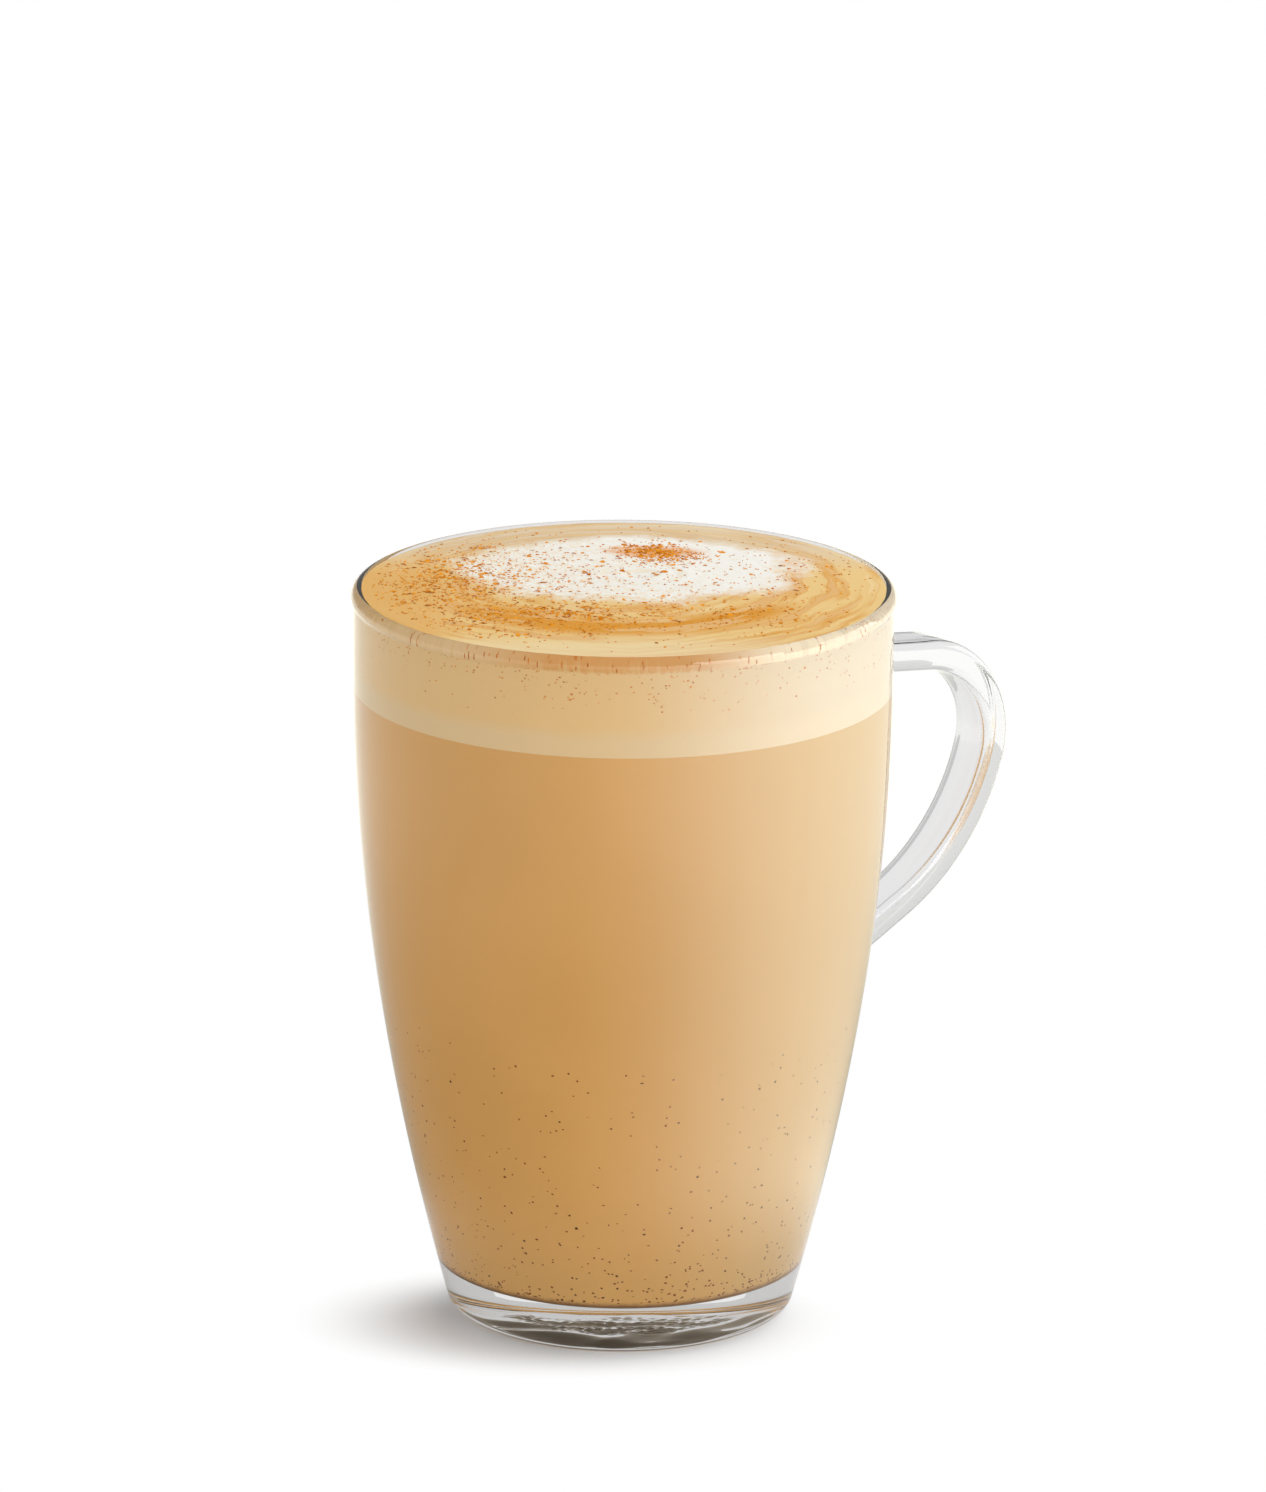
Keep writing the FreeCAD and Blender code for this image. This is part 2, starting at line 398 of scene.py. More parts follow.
def strap_path():
    """(x, z, heading) rows along the strap's middle: a run, two tangent arcs, and the far end."""
    heading = -STRAP_FALL
    root = np.array([float(outer_radius(HEIGHT - STRAP_DROP)), HEIGHT - STRAP_DROP])
    place = root + STRAP_RUN * np.array([math.cos(heading), math.sin(heading)])
    rows = [[*(root + (place - root) * share), heading] for share in (0.55, 0.7, 0.85)]
    for radius, turn in STRAP_BENDS:
        centre = place + radius * np.array([math.sin(heading), -math.cos(heading)])
        steps = max(8, int(radius * turn / STRAP_STEP))
        for share in np.arange(steps) / steps:
            now = heading - turn * share
            rows.append([*(centre + radius * np.array([-math.sin(now), math.cos(now)])), now])
        heading -= turn
        place = centre + radius * np.array([-math.sin(heading), math.cos(heading)])
    onward = np.array([math.cos(heading), math.sin(heading)])
    rows += [[*(place + step * onward), heading] for step in (0.0, STRAP_STEP, 2 * STRAP_STEP)]
    return np.array(rows)


def outside_wall(points):
    """How far points lie outside the mug's wall, measured level."""
    return np.hypot(points[:, 0], points[:, 1]) - outer_radius(points[:, 2])


def run_to_wall(ring, way, ways):
    """Rings from one of the strap's rings into the wall.

    Each point slides along the strap until it is inside the glass, at a distance that is halved
    in on. Near the wall it moves out from the section by a quarter circle of its distance, which
    makes the fillet. The rings get closer towards the wall.
    """
    furthest, halvings, count = 40.0, 40, 40
    low, high = np.zeros(len(ring)), np.full(len(ring), furthest)
    for _ in range(halvings):
        middle = (low + high) / 2
        deep = outside_wall(ring + middle[:, None] * way) < -STRAP_INTO_WALL * WALL
        low, high = np.where(deep, low, middle), np.where(deep, middle, high)
    shares = 1 - (1 - np.linspace(0, 1, count)) ** 1.6
    rings = []
    for share in shares[1:]:
        points = ring + (low * share)[:, None] * way
        near = np.clip(outside_wall(points), 0, STRAP_FILLET)
        flare = STRAP_FILLET - np.sqrt(STRAP_FILLET ** 2 - (STRAP_FILLET - near) ** 2)
        rings.append(points + flare[:, None] * ways)
    return rings


def strap():
    """(points, faces) of the handle: the section carried along its path, flared at both ends."""
    def across_heading(section, heading):
        out = np.array([-math.sin(heading), 0, math.cos(heading)])
        return np.outer(section[:, 1], out) + np.outer(section[:, 0], [0, 1, 0])

    places, ways = strap_section()
    path = strap_path()
    rings = [np.array([x, 0, z]) + across_heading(places, heading) for x, z, heading in path]
    first, last = path[0, 2], path[-1, 2]
    back = -np.array([math.cos(first), 0, math.sin(first)])
    onward = np.array([math.cos(last), 0, math.sin(last)])
    top = run_to_wall(rings[0], back, across_heading(ways, first))[::-1]
    bottom = run_to_wall(rings[-1], onward, across_heading(ways, last))
    rings = np.array(top + rings + bottom)
    count, around = rings.shape[:2]
    here = np.arange(around)
    caps = [here.tolist(), ((count - 1) * around + here)[::-1].tolist()]
    return rings.reshape(-1, 3), tube_faces(count, around, flipped=True) + caps


def clear_mug():
    """The cup and its strap, joined into one closed skin of glass."""
    points, faces = turned(cup_outline())
    mug = make_piece("clear_mug", uneven_hollow(points), faces, node="glass_mug")
    handle = make_piece("strap_handle", *strap())
    union = mug.modifiers.new("union", "BOOLEAN")
    union.operation = "UNION"
    union.solver = "EXACT"
    union.object = handle
    bpy.context.view_layer.update()
    joined = mug.evaluated_get(bpy.context.evaluated_depsgraph_get())
    whole = bpy.data.meshes.new_from_object(joined)
    mug.modifiers.clear()
    whole.set_sharp_from_angle(angle=SHARP_FROM)
    mug.data = whole
    bpy.data.objects.remove(handle)
    return mug


def foam_cling(angle):
    """Angle by which the foam climbs round the lip: runs between degrees, highest in front.

    Sines of whole numbers of turns make its edge uneven.
    """
    toward = -(AHEAD[0] * np.cos(angle) + AHEAD[1] * np.sin(angle))
    uneven = np.sin(3 * angle) + 0.7 * np.sin(11 * angle + 1.0) + 0.6 * np.sin(47 * angle)
    return np.radians(np.interp(toward, *FOAM_CLING) + CLING_UNEVEN * uneven)


def foam_edge(angle, climbed=1.0):
    """(radius, height) of the foam on the lip, at a share of its climb.

    It follows the lip's circle. Far enough up, a smooth step takes it out of the glass by the
    film's thickness.
    """
    turn = foam_cling(angle) * climbed
    over = np.clip((turn - FILM_START) / FILM_GROWS, 0, 1)
    reach = LIP_ROUND - INTO_GLASS + (INTO_GLASS + FOAM_FILM) * over ** 2 * (3 - 2 * over)
    return (RIM_RADIUS - WALL + LIP_ROUND - reach * np.cos(turn), BRIM + reach * np.sin(turn))


def foam_rise(x, y):
    """Height of the foam's top: a low dome, gentle swells, and ripples round one spot.

    The dome falls as the square of the distance from the middle. The swells are two slow sines.
    The ripples are a cosine of the distance from their spot, and die away from it.
    """
    aside = x * ASIDE[0] + y * ASIDE[1]
    ahead = x * AHEAD[0] + y * AHEAD[1]
    edge_radius, edge_height = foam_edge(np.arctan2(y, x))
    share = np.clip(np.hypot(x, y) / edge_radius, 0, 1)
    dome = edge_height + (FOAM_TOP - edge_height) * (1 - share ** 2)
    calm = np.clip((1 - share) / CALM_RIM, 0, 1)
    swell = np.sin(aside / 5.3 + 0.6 * np.sin(ahead / 6.0)) * np.sin(ahead / 7.1 + 1.0) - 1
    near = np.hypot(aside - RIPPLE_AT[0], ahead - RIPPLE_AT[1])
    ripple = np.cos(near * RIPPLE_TURN + 0.5 * np.sin(aside / 3.0))
    ripple *= RIPPLE_RISE * np.exp(-(near / RIPPLE_REACH) ** 2)
    pit = PIT_DEPTH * np.exp(-(near / PIT_REACH) ** 2)
    return dome + calm * (SWELL_RISE * swell + ripple - pit)


def foam_crown():
    """The stained foam: its side, a rim that clings to the lip's inside, and its uneven top.

    The turned outline gives the side. The rings after it are laid round the lip, and then drawn
    in to the middle by a share of the edge's radius, at the top's height.
    """
    side = drink_outline(BAND_TOP, BRIM)[:-ACROSS]
    climb = np.linspace(0, 1, CLIMB_STEPS)[1:]
    across = np.linspace(1, 0, TOP_STEPS)[1:]
    flat = level_points(np.concatenate([climb, across]), BRIM)
    points, faces = turned(np.concatenate([side, flat]))
    rings = points[:-2].reshape(-1, AROUND, 3)[len(side) - 1:]
    angle, ring = directions(AROUND)
    for share, row in zip(climb, rings):
        radius, height = foam_edge(angle, share)
        row[:, :2], row[:, 2] = radius[:, None] * ring, height
    edge_radius = foam_edge(angle)[0]
    for share, row in zip(across, rings[len(climb):]):
        row[:, :2] = (edge_radius * share)[:, None] * ring
        row[:, 2] = foam_rise(row[:, 0], row[:, 1])
    points[-1, 2] = foam_rise(0.0, 0.0)
    return make_piece("stained_foam", points, faces, node="crema_foam")


def flakes(name, places, ways, sizes, thickness, seed, tall=1.0, sides=5):
    """Small closed flakes: each is two low cones over an uneven polygon, turned about its way.

    Each polygon corner lies at the flake's size times a random share, in a plane across its way.
    Tall flakes are drawn out in height. Each flake gets a random tone of its own.
    """
    draw = np.random.default_rng(seed)
    count = len(places)
    ways = ways / np.linalg.norm(ways, axis=1, keepdims=True)
    helper = np.where(np.abs(ways[:, 2:]) < 0.9, [[0.0, 0.0, 1.0]], [[1.0, 0.0, 0.0]])
    first = np.cross(helper, ways)
    first /= np.linalg.norm(first, axis=1, keepdims=True)
    second = np.cross(ways, first)
    turn = draw.uniform(0, math.tau, (count, 1)) + np.arange(sides) * math.tau / sides
    far = sizes[:, None] / 2 * draw.uniform(0.55, 1.15, (count, sides))
    longer = draw.uniform(0.6, 1.0, (count, 1))
    corners = ((far * np.cos(turn))[..., None] * first[:, None]
               + (far * longer * np.sin(turn))[..., None] * second[:, None])
    tip = (thickness * draw.uniform(0.6, 1.0, count) / 2)[:, None] * ways
    shapes = np.concatenate([corners, tip[:, None], -tip[:, None]], 1)
    points = places[:, None] + shapes * (1.0, 1.0, tall)

    step = sides + 2
    start = (np.arange(count) * step)[:, None]
    here, beyond = np.arange(sides), (np.arange(sides) + 1) % sides
    above = np.broadcast_to(start + sides, (count, sides))
    upper = np.stack([start + here, start + beyond, above], 2)
    lower = np.stack([start + beyond, start + here, above + 1], 2)
    faces = np.concatenate([upper, lower], 1).reshape(-1, 3)
    piece = make_piece(name, points.reshape(-1, 3), faces.tolist())
    tone = piece.data.attributes.new("tone", "FLOAT", "POINT")
    tone.data.foreach_set("value", np.repeat(draw.uniform(0, 1, count) ** 1.6, step))
    return piece


def spice_flakes():
    """Ground spice strewn on the foam, thickest at its centre heap and to the left and front.

    Each heap is a normal scatter, and a few flakes lie evenly all over.
    """
    draw = np.random.default_rng(11)
    spots = []
    for aside, ahead, wide, deep, count in SPICE_HEAPS:
        spots.append(draw.normal((aside, ahead), (wide, deep), (count, 2)))
    radius = SPICE_WITHIN * np.sqrt(draw.uniform(0, 1, SPICE_ALL_OVER))
    angle = draw.uniform(0, math.tau, SPICE_ALL_OVER)
    spots.append(np.stack([radius * np.cos(angle), radius * np.sin(angle)], 1))
    spots = np.concatenate(spots)
    spots = spots[np.hypot(*spots.T) < SPICE_WITHIN + 0.1]
    flat = spots[:, :1] * ASIDE + spots[:, 1:] * AHEAD
    sizes = draw.lognormal(math.log(FLAKE_SIZE), FLAKE_SPREAD, len(flat))
    places = np.column_stack([flat, foam_rise(*flat.T) + FLAKE_LIFT])
    ways = np.column_stack([draw.normal(0, FLAKE_TILT, (len(flat), 2)), np.ones(len(flat))])
    return flakes("spice_flakes", places, ways, np.clip(sizes, *FLAKE_SIZES), FLAKE_THICKNESS, 12)


def wall_specks(name, count, heights, sizes, seed, tall=1.0):
    """Specks in the drink's side. Each lies in its surface, and shows through the glass.

    A function gives their heights from even random shares.
    """
    draw = np.random.default_rng(seed)
    angle = draw.uniform(0, math.tau, count)
    height = heights(draw.uniform(0, 1, count))
    outward = np.column_stack([np.cos(angle), np.sin(angle)])
    places = np.column_stack([drink_radius(height)[:, None] * outward, height])
    slope = inner_radius(height + 0.5) - inner_radius(height - 0.5)
    ways = np.column_stack([outward, -slope])
    size = draw.uniform(*sizes, count)
    return flakes(name, places, ways, size, SPECK_THICKNESS, seed + 1, tall)


def specks_near_floor(share):
    """Heights of the settled specks: a power of their shares crowds them to the floor."""
    return BASE + 1.0 + SETTLED_REACH * share ** SETTLED_CROWDING


def specks_in_foam(share):
    """Heights of the specks in the foam's side: a root of their shares crowds them to the lip."""
    return BAND_TOP + 1 + (BRIM - BAND_TOP - 2) * share ** FOAM_CROWDING


def streaks_under_lip(share):
    """Heights of the streaks under the lip, evenly spread in a narrow band."""
    return HEIGHT - STREAKS_FROM + STREAKS_DEPTH * share


# ---------------------------------------------------------------- node trees

class Nodes:
    """A node tree, with short calls that place and link its nodes."""

    def __init__(self, tree):
        self.tree = tree
        tree.nodes.clear()

    def node(self, kind, inputs=(), **settings):
        """Adds a node, sets its properties, and links or sets its inputs by name or number."""
        made = self.tree.nodes.new(kind)
        for key, value in settings.items():
            setattr(made, key, value)
        for key, value in dict(inputs).items():
            self.put(made.inputs[key], value)
        return made

    def put(self, socket, value):
        if isinstance(value, bpy.types.NodeSocket):
            self.tree.links.new(value, socket)
        else:
            socket.default_value = value

    def math(self, operation, a, b=0.0):
        return self.node("ShaderNodeMath", {0: a, 1: b}, operation=operation).outputs[0]

    def plus(self, a, b):
        return self.math("ADD", a, b)

    def less(self, a, b):
        return self.math("SUBTRACT", a, b)

    def times(self, a, b):
        return self.math("MULTIPLY", a, b)

    def larger(self, a, b):
        return self.math("MAXIMUM", a, b)

    def steps(self, value, low, high, to_low=0.0, to_high=1.0):
        """A smooth step of a value between two limits."""
        made = self.node("ShaderNodeMapRange", {0: value, 1: low, 2: high, 3: to_low, 4: to_high},
                         interpolation_type="SMOOTHSTEP")
        return made.outputs[0]

    def between(self, share, a, b):
        """The number at a share of the way from one to another."""
        return self.node("ShaderNodeMix", {0: share, 2: a, 3: b}, data_type="FLOAT").outputs[0]

    def mix(self, share, a, b):
        """The colour at a share of the way from one to another."""
        return self.node("ShaderNodeMix", {0: share, 6: a, 7: b}, data_type="RGBA").outputs[2]

    def noise(self, vector, scale, detail=2.0, rough=0.5):
        made = self.node("ShaderNodeTexNoise", {"Vector": vector, "Scale": scale, "Detail": detail,
                                                "Roughness": rough})
        return made.outputs[0]

    def sway(self, noise, amount):
        """A noise made to swing about zero, by an amount from its low to its high."""
        return self.times(self.less(noise, 0.5), amount)

    def place(self):
        """The point on the piece, in millimetres of the mug's frame."""
        here = self.node("ShaderNodeTexCoord").outputs["Object"]
        return self.node("ShaderNodeVectorMath", {0: here, "Scale": 1 / MM},
                         operation="SCALE").outputs[0]

    def along(self, here, way):
        """How far a point lies along a level direction."""
        return self.node("ShaderNodeVectorMath", {0: here, 1: (*way.tolist(), 0.0)},
                         operation="DOT_PRODUCT").outputs["Value"]

    def apart(self, x, y, spot=(0.0, 0.0), half=(1.0, 1.0)):
        """Square of the distance from a spot, with each direction measured in a half size."""
        aside = self.math("DIVIDE", self.less(x, spot[0]), half[0])
        ahead = self.math("DIVIDE", self.less(y, spot[1]), half[1])
        return self.plus(self.times(aside, aside), self.times(ahead, ahead))

    def split(self, vector):
        return self.node("ShaderNodeSeparateXYZ", {0: vector}).outputs

    def join(self, x, y, z):
        return self.node("ShaderNodeCombineXYZ", {0: x, 1: y, 2: z}).outputs[0]

    def bump(self, height, distance, strength=1.0):
        return self.node("ShaderNodeBump", {"Height": height, "Distance": distance * MM,
                                            "Strength": strength}).outputs[0]

    def blend(self, share, first, second):
        """The shader at a share of the way from one to another."""
        return self.node("ShaderNodeMixShader", {0: share, 1: first, 2: second}).outputs[0]


class Finish(Nodes):
    """A material's node tree."""

    def __init__(self, name):
        self.material = bpy.data.materials.new(name)
        self.material.use_nodes = True
        super().__init__(self.material.node_tree)

    def surface(self, shader):
        self.node("ShaderNodeOutputMaterial", {"Surface": shader})
        return self.material


class Effect(Nodes):
    """A shader node group for an effect that several finishes share. It puts out a colour."""

    def __init__(self, name, **inputs):
        super().__init__(bpy.data.node_groups.new(name, "ShaderNodeTree"))
        for label, kind in inputs.items():
            self.tree.interface.new_socket(label, in_out="INPUT", socket_type=kind)
        self.tree.interface.new_socket("Colour", in_out="OUTPUT", socket_type="NodeSocketColor")
        self.given = self.node("NodeGroupInput").outputs

    def gives(self, tone):
        self.node("NodeGroupOutput", {"Colour": tone})
        return self

    def on(self, finish, **values):
        """Places the group in a finish with that finish's own values."""
        return finish.node("ShaderNodeGroup", values, node_tree=self.tree).outputs["Colour"]


def colour(red, green, blue):
    """A scene colour from display values out of 255."""
    share = np.array([red, green, blue]) / 255
    line = np.where(share <= 0.04045, share / 12.92, ((share + 0.055) / 1.055) ** 2.4)
    return (*line.tolist(), 1.0)


# ---------------------------------------------------------------- finishes

LATTE = colour(207, 159, 89)
CLOUDED_LATTE = colour(203, 155, 84)
# Painted light: the coffee's paler tone on its right, where the lamps' sheen falls
LATTE_PAINTED_LIGHT = colour(213, 182, 128)
LATTE_EDGE = colour(132, 84, 44)
LATTE_UNDERSIDE = colour(158, 140, 112)

PALE_FOAM = colour(214, 188, 142)
# Painted light: the pale band's paler tone on its right, where the lamps' sheen falls
PALE_FOAM_PAINTED_LIGHT = colour(234, 218, 190)
STAINED_FOAM = colour(217, 183, 126)
# Painted light: the stained foam's paler tone on its right, where the lamps' sheen falls
FOAM_PAINTED_LIGHT = colour(228, 214, 189)
BROWN_FOAM = colour(210, 150, 80)
# Painted light at the lip beside its brown stain, evening out the lip's shade: paler on the right,
# less so on the left
LIP_FOAM_PAINTED_LIGHT_RIGHT = colour(252, 240, 212)
LIP_FOAM_PAINTED_LIGHT_LEFT = colour(226, 196, 150)

WHITE_FOAM = colour(241, 239, 232)
CREAM_FOAM = colour(232, 198, 134)
GOLD_FOAM = colour(219, 153, 62)
STREAK_FOAM = colour(236, 216, 172)
BACK_FOAM = colour(222, 200, 168)
BACK_GOLD_FOAM = colour(214, 176, 124)
SPICE_STAIN = colour(226, 150, 58)
DUST_FOAM = colour(232, 196, 124)

# Pale and dark flakes of the spice on the foam, near the floor, and in the foam's side
SPICE_TONES = (colour(240, 160, 44), colour(188, 98, 14))
SETTLED_TONES = (colour(134, 78, 32), colour(74, 42, 20))
SUNK_TONES = (colour(212, 136, 58), colour(174, 98, 34))


def glass_finish():
    """Clear glass. Lamp rays pass straight through it over the base, and light the drink.

    Through the base only a part of them does, so that the mug keeps a shadow.
    """
    f = Finish("clear_glass")
    glass = f.node("ShaderNodeBsdfPrincipled", {
        "Base Color": (1.0, 1.0, 1.0, 1.0), "Roughness": 0.0, "IOR": 1.5,
        "Transmission Weight": 1.0}).outputs[0]
    clear = f.node("ShaderNodeBsdfTransparent").outputs[0]
    lamp_ray = f.node("ShaderNodeLightPath").outputs["Is Shadow Ray"]
    over_base = f.steps(f.split(f.place())[2], BASE - 3.0, BASE + 1.0, 0.25, 1.0)
    return f.surface(f.blend(f.times(lamp_ray, over_base), glass, clear))


def latte_finish():
    """Opaque milk coffee with slow, faint clouds. It is paler to the right, which is painted light:
    the sheen of the lamps on that side.

    A thin uneven line of it is darker at the bottom, and its underside is dull.
    """
    f = Finish("milk_coffee")
    here = f.place()
    height = f.split(here)[2]
    tone = f.mix(f.steps(f.noise(here, 0.03), 0.35, 0.65), LATTE, CLOUDED_LATTE)
    # Painted light: paler towards the right, where the lamps' sheen falls
    tone = f.mix(f.steps(f.along(here, ASIDE), 2.0, 40.0), tone, LATTE_PAINTED_LIGHT)
    uneven = f.plus(f.sway(f.noise(here, 0.9), 1.2), height)
    tone = f.mix(f.steps(uneven, BASE + 0.2, BASE + 1.3, 0.7, 0.0), tone, LATTE_EDGE)
    tone = f.mix(f.steps(height, BASE - 0.05, BASE + 0.1, 1.0, 0.0), tone, LATTE_UNDERSIDE)
    skin = f.node("ShaderNodeBsdfPrincipled", {
        "Base Color": tone, "Roughness": 0.45, "Specular IOR Level": 0.25})
    return f.surface(skin.outputs[0])


def foam_side_effect():
    """The colour of foam behind glass: pale at the bottom, stained above, and paler to the right,
    which is painted light from the lamps on that side.

    At the lip it is brown in front, a real stain. Beside that it is pale, which is painted light
    that evens out the lip's shade, and paler to the right.
    """
    e = Effect("foam_side", Place="NodeSocketVector")
    here = e.given["Place"]
    height = e.split(here)[2]
    to_right = e.along(here, ASIDE)
    # Painted light: a share that makes the foam paler towards the right
    painted_light_share = e.steps(to_right, -2.0, 38.0)
    uneven = e.plus(height, e.sway(e.noise(here, 0.25, 3.0), 1.6))
    stained = e.mix(painted_light_share, STAINED_FOAM, FOAM_PAINTED_LIGHT)
    pale = e.mix(painted_light_share, PALE_FOAM, PALE_FOAM_PAINTED_LIGHT)
    body = e.mix(e.steps(uneven, BAND_TOP - 1.6, BAND_TOP + 1.6), pale, stained)
    drawn_out = e.node("ShaderNodeMapping", {0: here, 3: (1.0, 1.0, 0.25)}).outputs[0]
    ragged = e.plus(e.sway(e.noise(drawn_out, 1.6), 2.4), height)
    # At the lip: brown in front is a real stain, and beside it the tone is painted light that evens
    # out the lip's shade
    at_lip = e.steps(ragged, HEIGHT - 2.9, HEIGHT - 1.7, 0.0, 0.9)
    in_front = e.steps(e.math("ABSOLUTE", to_right), 8.0, 28.0, 0.92, 0.0)
    # Painted light beside the stain, paler towards the right
    beside = e.mix(e.steps(to_right, -14.0, 26.0), LIP_FOAM_PAINTED_LIGHT_LEFT, LIP_FOAM_PAINTED_LIGHT_RIGHT)
    return e.gives(e.mix(at_lip, body, e.mix(in_front, beside, BROWN_FOAM)))


def band_finish(foam_side):
    """The dull pale foam just over the coffee."""
    f = Finish("pale_foam")
    skin = f.node("ShaderNodeBsdfPrincipled", {
        "Base Color": foam_side.on(f, Place=f.place()), "Roughness": 0.8,
        "Specular IOR Level": 0.0})
    return f.surface(skin.outputs[0])


def crema_finish(foam_side):
    """Foam over the lip: a white patch off centre in a stained ring with drawn-out streaks.

    The pattern is laid out so that x is aside and y is ahead. The patch is an ellipse with a
    noisy edge. The streaks are noise on the distance from the middle and on the direction as a
    point of the unit circle, so that they run round without a seam.
    """
    f = Finish("stained_foam")
    here = f.place()
    facing = f.node("ShaderNodeMapping", {0: here, 2: (0.0, 0.0, -VIEW_TURN)}).outputs[0]
    x, y = f.split(facing)[:2]
    radius = f.math("SQRT", f.apart(x, y))
    span = f.larger(radius, 1.0)
    round_x, round_y = f.math("DIVIDE", x, span), f.math("DIVIDE", y, span)
    coarse = f.noise(facing, 0.09, 3.0, 0.55)
    fine = f.noise(facing, 0.55, 3.0, 0.6)

    # Where the foam is streaked, gold, pale and white
    across = f.times(f.plus(radius, f.sway(coarse, 5.0)), 0.5)
    drawn = f.join(across, f.times(round_x, 1.4), f.times(round_y, 1.4))
    streaks = f.steps(f.noise(drawn, 1.0, 2.0, 0.45), 0.4, 0.6)
    broad = f.join(f.times(across, 0.35), round_x, round_y)
    ring = f.times(f.steps(radius, 20.0, 26.0), f.steps(radius, 29.0, 34.0, 1.0, 0.0))
    front = f.times(ring, f.steps(y, -8.0, -19.0))
    left = f.times(f.steps(x, -24.0, -32.0), f.steps(y, 24.0, 4.0))
    gold = f.times(f.steps(f.noise(broad, 1.1, 1.0), 0.3, 0.55),
                   f.steps(left, 0.0, 1.0, 1.0, 0.4))
    golden = f.larger(f.times(gold, streaks), f.larger(front, f.times(left, 0.5)))
    pale_lines = f.times(f.steps(streaks, 0.75, 1.0), f.steps(left, 0.0, 1.0, 0.35, 0.05))
    reach = f.math("SQRT", f.apart(x, y, PATCH_AT, PATCH_HALF))
    reach = f.plus(f.plus(reach, f.sway(coarse, 0.55)), f.sway(fine, 0.22))
    patch = f.steps(reach, 0.77, 1.05, 1.0, 0.0)

    # The stained ring, greyer at the back and paler along its front
    behind = f.steps(y, 6.0, 30.0)
    stained = f.mix(golden, f.mix(behind, CREAM_FOAM, BACK_FOAM),
                    f.mix(behind, GOLD_FOAM, BACK_GOLD_FOAM))
    stained = f.mix(pale_lines, stained, STREAK_FOAM)
    stained = f.mix(f.steps(y, -29.0, -38.0, 0.0, 0.65), stained, STREAK_FOAM)

    # The white patch, with faint rings round its ripples and dust to the left and front
    ripple = f.math("SQRT", f.apart(x, y, RIPPLE_AT))
    rings = f.math("SINE", f.plus(f.times(ripple, RIPPLE_TURN), f.times(fine, 7.0)))
    rings = f.times(f.steps(rings, 0.2, 1.0), f.steps(ripple, 4.0, 13.0, 0.35, 0.0))
    milk = f.mix(rings, WHITE_FOAM, STREAK_FOAM)
    milk = f.mix(f.times(f.steps(fine, 0.5, 0.75), 0.35), milk, STREAK_FOAM)
    dusty = f.larger(f.steps(x, 6.0, -22.0, 0.1, 1.0), f.steps(y, 2.0, -12.0))
    dust = f.times(f.steps(f.noise(facing, 1.3, 3.0, 0.7), 0.45, 0.65), dusty)
    milk = f.mix(f.times(dust, 0.7), milk, DUST_FOAM)
    top = f.mix(patch, stained, milk)

    # Spice has stained the foam under its heap
    heap = f.plus(f.apart(x, y, STAIN_AT, STAIN_HALF), f.times(fine, 1.4))
    top = f.mix(f.steps(heap, 0.6, 2.0, 0.9, 0.0), top, SPICE_STAIN)

    up = f.split(f.node("ShaderNodeTexCoord").outputs["Normal"])[2]
    tone = f.mix(f.steps(up, 0.35, 0.6), foam_side.on(f, Place=here), top)
    bubbles = f.plus(f.noise(facing, 2.2, 2.0, 0.6), f.times(streaks, 0.6))
    skin = f.node("ShaderNodeBsdfPrincipled", {
        "Base Color": tone, "Roughness": 0.7, "Specular IOR Level": 0.03,
        "Normal": f.bump(bubbles, 0.12, 0.5)})
    return f.surface(skin.outputs[0])


def spice_effect():
    """The colour of a flake: its own tone between a pale and a dark one, with a fine grain."""
    e = Effect("spice_grain", Place="NodeSocketVector", Tone="NodeSocketFloat",
               Pale="NodeSocketColor", Dark="NodeSocketColor")
    grain = e.sway(e.noise(e.given["Place"], 6.0), 0.5)
    return e.gives(e.mix(e.plus(grain, e.given["Tone"]), e.given["Pale"], e.given["Dark"]))


def spice_finish(spice_grain, name, pale, dark):
    """Dry ground spice."""
    f = Finish(name)
    tone = f.node("ShaderNodeAttribute", attribute_name="tone").outputs["Fac"]
    grain = spice_grain.on(f, Place=f.place(), Tone=tone, Pale=pale, Dark=dark)
    skin = f.node("ShaderNodeBsdfPrincipled", {
        "Base Color": grain, "Roughness": 0.85, "Specular IOR Level": 0.0})
    return f.surface(skin.outputs[0])


# ---------------------------------------------------------------- studio

